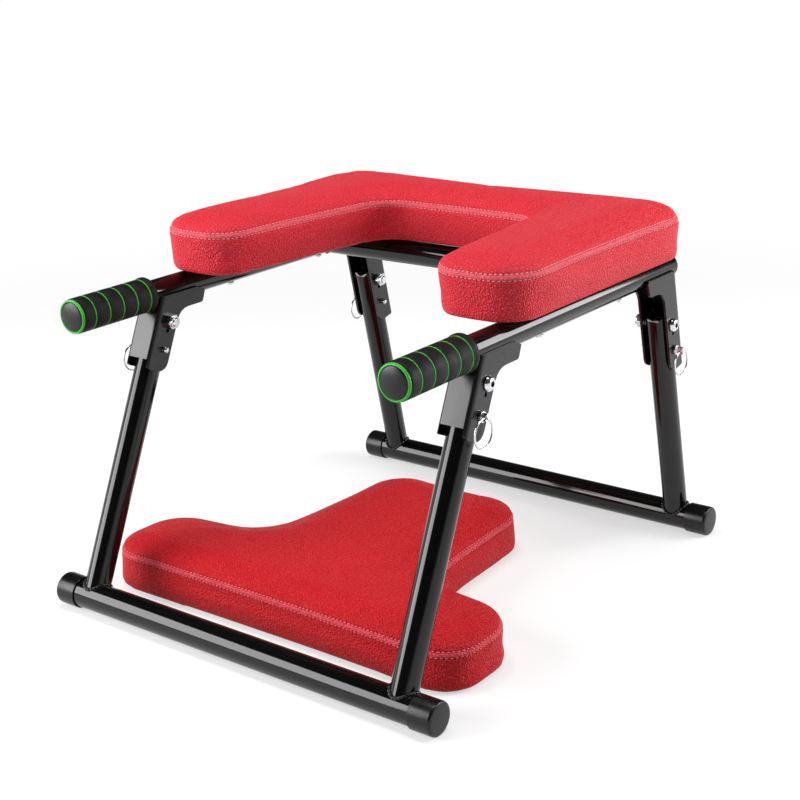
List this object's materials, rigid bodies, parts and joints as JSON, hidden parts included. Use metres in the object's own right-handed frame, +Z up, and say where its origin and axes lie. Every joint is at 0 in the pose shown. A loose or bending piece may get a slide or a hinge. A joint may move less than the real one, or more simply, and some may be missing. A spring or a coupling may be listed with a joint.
{
  "type": "yoga headstand stool",
  "caption": "Folding headstand stool: padded horseshoe seat on a tubular frame with foam-gripped handles, locking leg brackets and a loose T-shaped floor pad.",
  "frame": {"origin": "on the floor, midway between the four feet", "axes": "+X across the stool to the right when seen from the handles, +Y from the handles to the back, +Z up"},
  "size_m": [0.45, 0.52, 0.364],
  "materials": {
    "gloss_black_paint": "gloss powder coat",
    "satin_black_paint": "satin powder coat",
    "black_plastic": "moulded",
    "black_foam": "matt closed-cell foam",
    "green_rubber": "satin",
    "bright_steel": "zinc plated",
    "red_leather": "pebble grain",
    "deep_red_leather": "pebble grain",
    "plywood": "raw",
    "non_slip": "dotted non-slip cloth"
  },
  "bodies": {
    "floor_pad": {"floor_cushion": "deep_red_leather", "floor_pad_base": "non_slip"},
    "seat_frame": {"left_handle_rail": "gloss_black_paint", "right_handle_rail": "gloss_black_paint", "rear_cross_tube": "gloss_black_paint", "left_rail_rear_plug": "black_plastic", "right_rail_rear_plug": "black_plastic", "left_handle_grip": "black_foam", "right_handle_grip": "black_foam", "left_grip_end_ring": "green_rubber", "right_grip_end_ring": "green_rubber", "left_grip_end_plug": "black_plastic", "right_grip_end_plug": "black_plastic", "seat_board": "plywood", "seat_cushion": "red_leather", "front_left_seat_screw": "bright_steel", "front_right_seat_screw": "bright_steel", "rear_left_seat_screw": "bright_steel", "rear_right_seat_screw": "bright_steel", "front_left_bracket": "satin_black_paint", "front_right_bracket": "satin_black_paint", "rear_left_bracket": "satin_black_paint", "rear_right_bracket": "satin_black_paint", "front_left_pivot_bolt": "bright_steel", "front_right_pivot_bolt": "bright_steel", "rear_left_pivot_bolt": "bright_steel", "rear_right_pivot_bolt": "bright_steel", "front_left_lock_nut": "bright_steel", "front_right_lock_nut": "bright_steel", "rear_left_lock_nut": "bright_steel", "rear_right_lock_nut": "bright_steel", "front_left_pivot_sleeve": "bright_steel", "front_right_pivot_sleeve": "bright_steel", "rear_left_pivot_sleeve": "bright_steel", "rear_right_pivot_sleeve": "bright_steel"},
    "front_leg_frame": {"front_left_leg": "gloss_black_paint", "front_right_leg": "gloss_black_paint", "front_floor_tube": "gloss_black_paint", "front_left_end_cap": "black_plastic", "front_right_end_cap": "black_plastic"},
    "rear_leg_frame": {"rear_left_leg": "gloss_black_paint", "rear_right_leg": "gloss_black_paint", "rear_floor_tube": "gloss_black_paint", "rear_left_end_cap": "black_plastic", "rear_right_end_cap": "black_plastic"},
    "front_left_lock": {"front_left_lock_pin": "bright_steel"},
    "front_right_lock": {"front_right_lock_pin": "bright_steel"},
    "rear_left_lock": {"rear_left_lock_pin": "bright_steel"},
    "rear_right_lock": {"rear_right_lock_pin": "bright_steel"},
    "front_left_pull": {"front_left_pull_ring": "bright_steel"},
    "front_right_pull": {"front_right_pull_ring": "bright_steel"},
    "rear_left_pull": {"rear_left_pull_ring": "bright_steel"},
    "rear_right_pull": {"rear_right_pull_ring": "bright_steel"}
  },
  "joints": [
    {"name": "stool_lift", "type": "slide", "parent": "floor_pad", "child": "seat_frame", "axis": [0, 0, 1], "range_m": [0, 0.7]},
    {"name": "front_leg_fold", "type": "hinge", "parent": "seat_frame", "child": "front_leg_frame", "pos_m": [0, -0.133, 0.2677], "axis": [1, 0, 0], "range_deg": [0, 110]},
    {"name": "rear_leg_fold", "type": "hinge", "parent": "seat_frame", "child": "rear_leg_frame", "pos_m": [0, 0.195, 0.2387], "axis": [-1, 0, 0], "range_deg": [0, 45]},
    {"name": "front_left_lock_pull", "type": "slide", "parent": "seat_frame", "child": "front_left_lock", "axis": [-1, 0, 0], "range_m": [0, 0.045]},
    {"name": "front_right_lock_pull", "type": "slide", "parent": "seat_frame", "child": "front_right_lock", "axis": [1, 0, 0], "range_m": [0, 0.045]},
    {"name": "rear_left_lock_pull", "type": "slide", "parent": "seat_frame", "child": "rear_left_lock", "axis": [-1, 0, 0], "range_m": [0, 0.045]},
    {"name": "rear_right_lock_pull", "type": "slide", "parent": "seat_frame", "child": "rear_right_lock", "axis": [1, 0, 0], "range_m": [0, 0.045]},
    {"name": "front_left_ring_swing", "type": "hinge", "parent": "front_left_lock", "child": "front_left_pull", "pos_m": [-0.2065, -0.14444, 0.24182], "axis": [0, 0.9131, -0.4078], "range_deg": [-10, 100]},
    {"name": "front_right_ring_swing", "type": "hinge", "parent": "front_right_lock", "child": "front_right_pull", "pos_m": [0.2065, -0.14444, 0.24182], "axis": [0, -0.9131, 0.4078], "range_deg": [-10, 100]},
    {"name": "rear_left_ring_swing", "type": "hinge", "parent": "rear_left_lock", "child": "rear_left_pull", "pos_m": [-0.2065, 0.20112, 0.21107], "axis": [0, 0.9801, 0.1987], "range_deg": [-10, 100]},
    {"name": "rear_right_ring_swing", "type": "hinge", "parent": "rear_right_lock", "child": "rear_right_pull", "pos_m": [0.2065, 0.20112, 0.21107], "axis": [0, -0.9801, -0.1987], "range_deg": [-10, 100]}
  ],
  "couplings": [
    {"joint": "front_leg_fold", "follows": "stool_lift", "rad_per_m": 2.74},
    {"joint": "rear_leg_fold", "follows": "stool_lift", "rad_per_m": 1.12}
  ]
}
